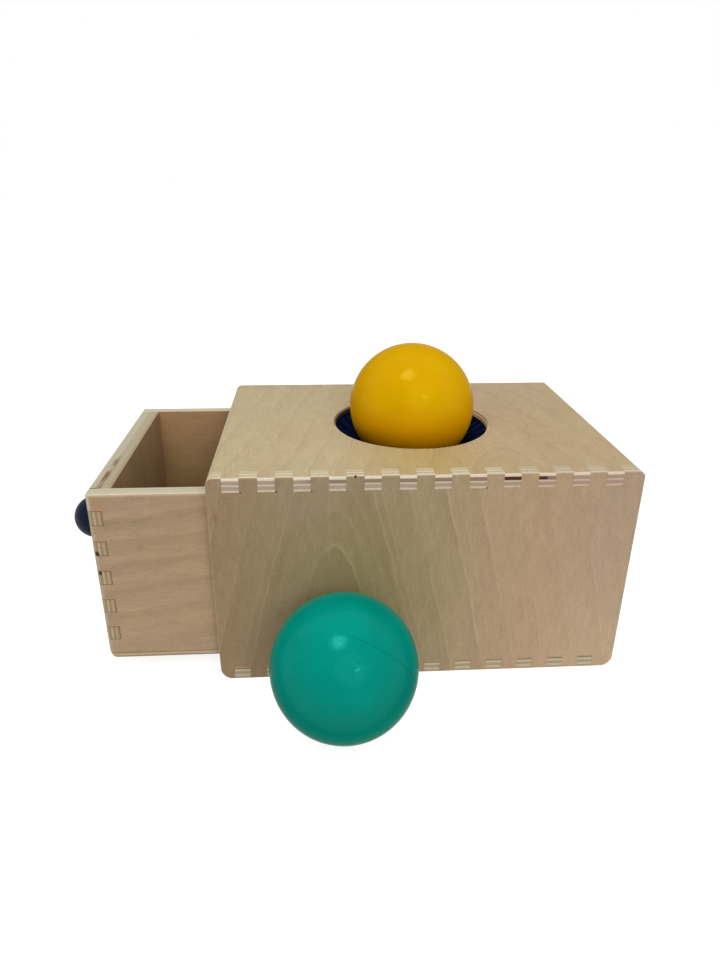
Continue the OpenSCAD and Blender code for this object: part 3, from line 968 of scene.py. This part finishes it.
def cloth_profile():
    """Rows of the cloth from its clamped edge to its hem.

    A row holds its distance out, its height, the angle of its normal and its share of the
    gathers' height.
    """
    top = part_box("cloth_insert")[HIGH].z - CLOTH_THICKNESS / 2
    wrap = BALL_RADIUS + CLOTH_CLEARANCE
    touch = math.pi / 2 - CLOTH_SLOPE
    hem = touch + HEM_WIDTH / wrap
    edge = Vector((CLOTH_EDGE_RADIUS, top - CLOTH_EDGE_DROP))
    touching = Vector((wrap * math.cos(touch), BALL_CENTRE.z - wrap * math.sin(touch)))
    rows = [(FLANGE_OUTER, top, -math.pi / 2, 0.0), (FLANGE_INNER, top, -FLANGE_TURN, 0.0)]
    for k in range(FALL_ROWS):
        share = k / FALL_ROWS
        point = edge.lerp(touching, share)
        rows.append((point.x, point.y, -touch, share ** 0.8))
    for k in range(WRAP_ROWS + 1):
        angle = touch + (hem - touch) * k / WRAP_ROWS
        rows.append((wrap * math.cos(angle), BALL_CENTRE.z - wrap * math.sin(angle), -angle, 1.0))
    return rows


def gather_height(turn):
    """The gathers round the cloth, from -1 to 1: one wave a gather, uneven in width and height."""
    uneven = 0.35 * math.sin(3 * turn + 0.7) + 0.25 * math.sin(7 * turn + 2.1)
    wave = math.sin(GATHERS * turn + 1.6 * uneven)
    tall = 0.72 + 0.28 * math.sin(5 * turn + 1.3) * math.sin(2 * turn + 0.4)
    return wave * tall


def cloth_points(rows):
    points = []
    for out, height, normal, gathers in rows:
        for j in range(CLOTH_SIDES):
            turn = 2 * math.pi * j / CLOTH_SIDES
            rise = gathers * GATHER_HEIGHT * gather_height(turn)
            r = out + rise * math.cos(normal)
            points.append((BALL_CENTRE.x + r * math.cos(turn), r * math.sin(turn),
                           height + rise * math.sin(normal)))
    return points


def cloth_faces(row_count):
    """Squares between neighbouring rows, all the way round."""
    faces = []
    for i in range(row_count - 1):
        this, following = i * CLOTH_SIDES, (i + 1) * CLOTH_SIDES
        for j in range(CLOTH_SIDES):
            k = (j + 1) % CLOTH_SIDES
            faces.append((this + j, this + k, following + k, following + j))
    return faces


def make_cloth():
    rows = cloth_profile()
    mesh = bpy.data.meshes.new("cloth_funnel")
    mesh.from_pydata(cloth_points(rows), [], cloth_faces(len(rows)))
    mesh.update()
    for polygon in mesh.polygons:
        polygon.use_smooth = True
    mesh.materials.append(navy_cloth())
    cloth = bpy.data.objects.new("cloth_funnel", mesh)
    bpy.context.scene.collection.objects.link(cloth)
    thickness = cloth.modifiers.new("thickness", "SOLIDIFY")
    thickness.thickness = CLOTH_THICKNESS
    thickness.offset = 0.0
    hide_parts("cloth_insert")
    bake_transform(cloth)


# In the camera's view the floor's white is partly its own and partly the light that falls on it
FLOOR_GLOW = 0.82
FLOOR_PALE = (0.5, 0.5, 0.5, 1.0)
FLOOR_MID = (0.36, 0.35, 0.34, 1.0)
FLOOR_RADIUS = 6.0
WHITE = (1.0, 1.0, 1.0, 1.0)
AMBIENT = 0.46


def background_share(graph):
    """1 for rays that show the background: camera, glossy and transmission rays."""
    path = graph.node("LightPath")
    seen = graph.math("ADD", path.outputs["Is Camera Ray"], path.outputs["Is Glossy Ray"])
    return graph.math("ADD", seen, path.outputs["Is Transmission Ray"], clamp=True)


def floor_white():
    graph = material_graph("floor_white")
    seen = background_share(graph)
    diffuse = graph.node("BsdfDiffuse", {"Color": graph.mix(seen, FLOOR_MID, FLOOR_PALE)})
    glow = graph.node("Emission", {"Strength": graph.times(seen, FLOOR_GLOW)})
    both = graph.node("AddShader", {0: diffuse.outputs[0], 1: glow.outputs[0]})
    return graph.close("OutputMaterial", both)


def make_floor():
    mesh = bpy.data.meshes.new("floor")
    corners = [(-1, -1), (1, -1), (1, 1), (-1, 1)]
    mesh.from_pydata([(x * FLOOR_RADIUS, y * FLOOR_RADIUS, 0.0) for x, y in corners], [],
                     [(0, 1, 2, 3)])
    mesh.materials.append(floor_white())
    floor = bpy.data.objects.new("floor", mesh)
    bpy.context.scene.collection.objects.link(floor)


def make_world():
    world = bpy.data.worlds.new("studio")
    bpy.context.scene.world = world
    graph = Graph(world)
    strength = graph.line(background_share(graph), 1.0 - AMBIENT, AMBIENT)
    background = graph.node("Background", {"Color": WHITE, "Strength": strength})
    graph.close("OutputWorld", background)


def make_sun(name, azimuth, elevation, strength, spread):
    """A soft sun. Azimuth 0 shines from the front and 90 from the right, in degrees."""
    light = bpy.data.lights.new(name, "SUN")
    light.energy = strength
    light.angle = math.radians(spread)
    sun = bpy.data.objects.new(name, light)
    a, e = math.radians(azimuth), math.radians(elevation)
    back = Vector((math.sin(a) * math.cos(e), -math.cos(a) * math.cos(e), math.sin(e)))
    sun.rotation_mode = "QUATERNION"
    sun.rotation_quaternion = back.to_track_quat("Z", "Y")
    bpy.context.scene.collection.objects.link(sun)


def make_lights():
    make_sun("key", azimuth=-30.0, elevation=73.0, strength=1.05, spread=21.0)
    make_sun("room", azimuth=10.0, elevation=34.0, strength=0.85, spread=50.0)
    make_sun("window", azimuth=21.0, elevation=31.0, strength=0.16, spread=7.0)


def make_camera():
    yaw, pitch, roll = CAMERA_YAW, CAMERA_PITCH, CAMERA_ROLL
    ahead = Vector((math.sin(yaw) * math.cos(pitch), math.cos(yaw) * math.cos(pitch),
                    -math.sin(pitch)))
    level = Vector((math.cos(yaw), -math.sin(yaw), 0.0))
    up = level.cross(ahead)
    right = level * math.cos(roll) + up * math.sin(roll)
    above = up * math.cos(roll) - level * math.sin(roll)
    data = bpy.data.cameras.new("camera")
    data.sensor_fit = "AUTO"
    data.sensor_width = SENSOR_MM
    data.lens = FOCAL_PX / IMAGE_HEIGHT_PX * SENSOR_MM
    data.clip_start = 0.01
    data.clip_end = 50.0
    camera = bpy.data.objects.new("camera", data)
    rotation = Matrix((right, above, -ahead)).transposed()
    camera.matrix_world = Matrix.Translation(CAMERA_PLACE) @ rotation.to_4x4()
    bpy.context.scene.collection.objects.link(camera)
    bpy.context.scene.camera = camera


dress_case()
dress_drawer()
dress_balls()
dress_small_parts()
make_cloth()
make_floor()
make_world()
make_lights()
make_camera()
bpy.context.scene.view_settings.view_transform = "Standard"
